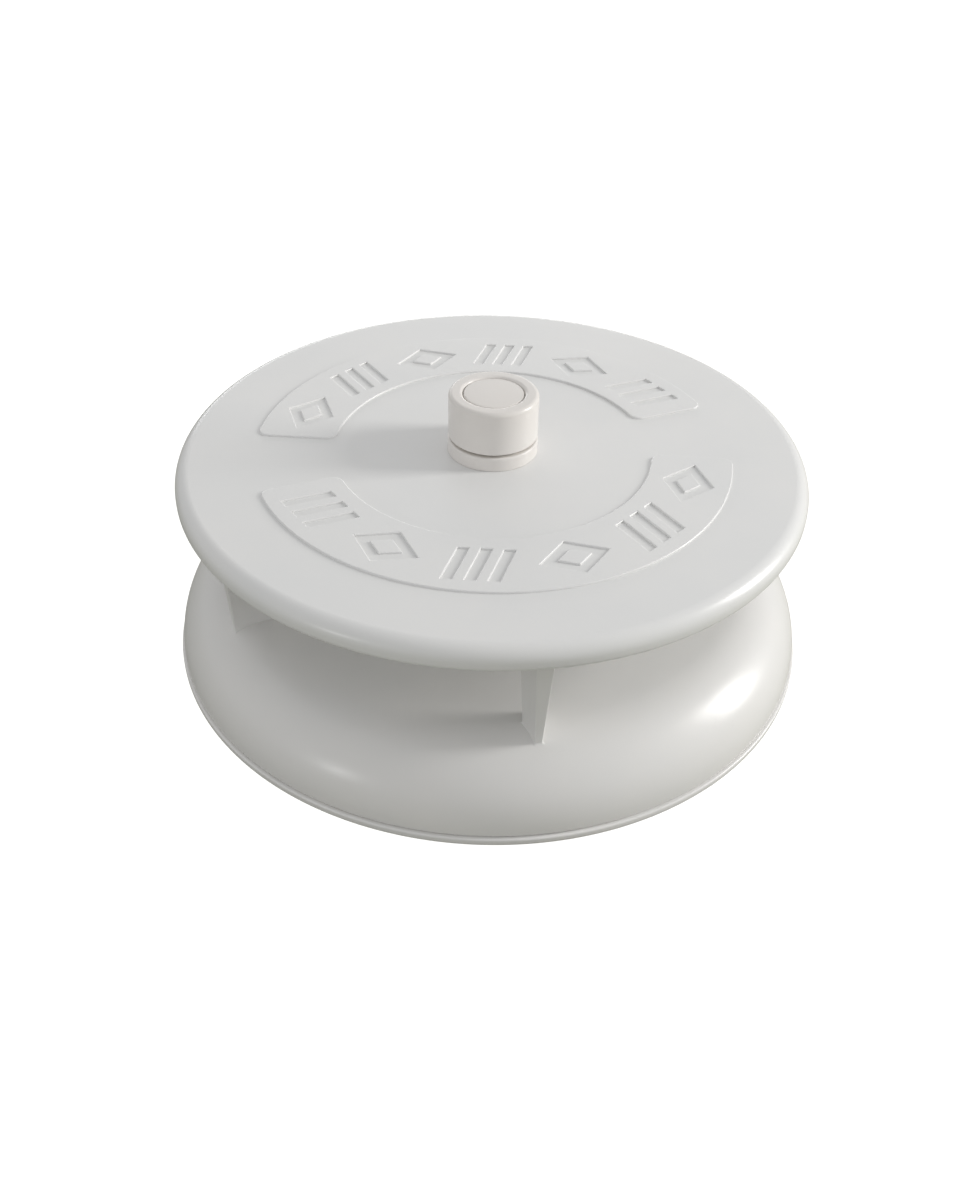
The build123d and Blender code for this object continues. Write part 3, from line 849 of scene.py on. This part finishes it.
def make_camera():
    data = bpy.data.cameras.new("camera")
    data.lens = VIEW_LENS
    data.sensor_width = SENSOR
    data.clip_start = 0.01
    data.clip_end = 50
    camera = bpy.data.objects.new("camera", data)
    bpy.context.scene.collection.objects.link(camera)
    e = math.radians(VIEW_ELEVATION)
    forward = Vector((0, math.cos(e), -math.sin(e)))
    right = Vector((1, 0, 0))
    up = right.cross(forward)
    roll = math.radians(VIEW_ROLL)
    axes = (
        right * math.cos(roll) + up * math.sin(roll),
        up * math.cos(roll) - right * math.sin(roll),
        -forward,
        (Vector(VIEW_AIM) - forward * VIEW_DISTANCE) * PLATE_R,
    )
    pose = Matrix.Identity(4)
    for column, axis in enumerate(axes):
        for row in range(3):
            pose[row][column] = axis[row]
    turn = Matrix.Rotation(math.radians(VIEW_AZIMUTH), 4, "Z")
    camera.matrix_world = turn @ pose
    bpy.context.scene.camera = camera


def area_light(name, azimuth, elevation, distance, size, power, colour=(1, 1, 1)):
    """Soft rectangular light at a direction round the object, aimed at its middle."""
    data = bpy.data.lights.new(name, "AREA")
    data.shape = "RECTANGLE"
    data.size, data.size_y = size
    data.energy = power
    data.color = colour
    light = bpy.data.objects.new(name, data)
    bpy.context.scene.collection.objects.link(light)
    a, e = math.radians(azimuth + VIEW_AZIMUTH), math.radians(elevation)
    flat = distance * math.cos(e)
    light.location = (flat * math.cos(a), flat * math.sin(a), distance * math.sin(e))
    aim = Vector((0, 0, PLATE_TOP / 2)) - light.location
    light.rotation_mode = "QUATERNION"
    light.rotation_quaternion = aim.to_track_quat("-Z", "Y")


def plain_material(name, colour, emission):
    material = bpy.data.materials.new(name)
    material.use_nodes = True
    shader = material.node_tree.nodes["Principled BSDF"]
    shader.inputs["Base Color"].default_value = rgba(colour)
    shader.inputs["Roughness"].default_value = 0.9
    shader.inputs["Specular IOR Level"].default_value = 0.1
    shader.inputs["Emission Color"].default_value = (1, 1, 1, 1)
    shader.inputs["Emission Strength"].default_value = emission
    return material


def floor_plane(name, height, material):
    size = FLOOR_HALF
    mesh = bpy.data.meshes.new(name)
    corners = [(-size, -size, height), (size, -size, height), (size, size, height), (-size, size, height)]
    mesh.from_pydata(corners, [], [(0, 1, 2, 3)])
    mesh.materials.append(material)
    plane = bpy.data.objects.new(name, mesh)
    bpy.context.scene.collection.objects.link(plane)
    return plane


def make_studio():
    """Even sky, three lights, a white floor for the camera and a dim card for the bounce."""
    world = bpy.data.worlds.new("studio")
    bpy.context.scene.world = world
    world.use_nodes = True
    sky = world.node_tree.nodes["Background"]
    sky.inputs["Color"].default_value = (1.0, 1.0, 1.0, 1)
    sky.inputs["Strength"].default_value = SKY_STRENGTH
    area_light("key", 4.0, 23.0, LIGHT_DISTANCE, (0.34, 0.70), 16.5, KEY_TINT)
    area_light("small_fill", 223.0, 10.0, LIGHT_DISTANCE, (0.10, 0.10), 1.7)
    area_light("back_fill", 100.0, 12.0, 1.8, (1.40, 0.35), 5.0)
    paper = floor_plane("floor", PAPER_Z, plain_material("floor_paper", PAPER, PAPER_GLOW))
    paper.visible_diffuse = False
    paper.visible_glossy = False
    card = floor_plane("bounce_card", CARD_Z, plain_material("card_grey", CARD, 0.0))
    card.visible_camera = False
    card.visible_shadow = False
    bpy.context.scene.view_settings.view_transform = "Standard"


make_camera()
make_studio()
dress_cad_nodes()
make_top_plate()
make_shell()
make_legs()
make_knob()
make_clamp()
make_drain_base()
make_drain_mesh()
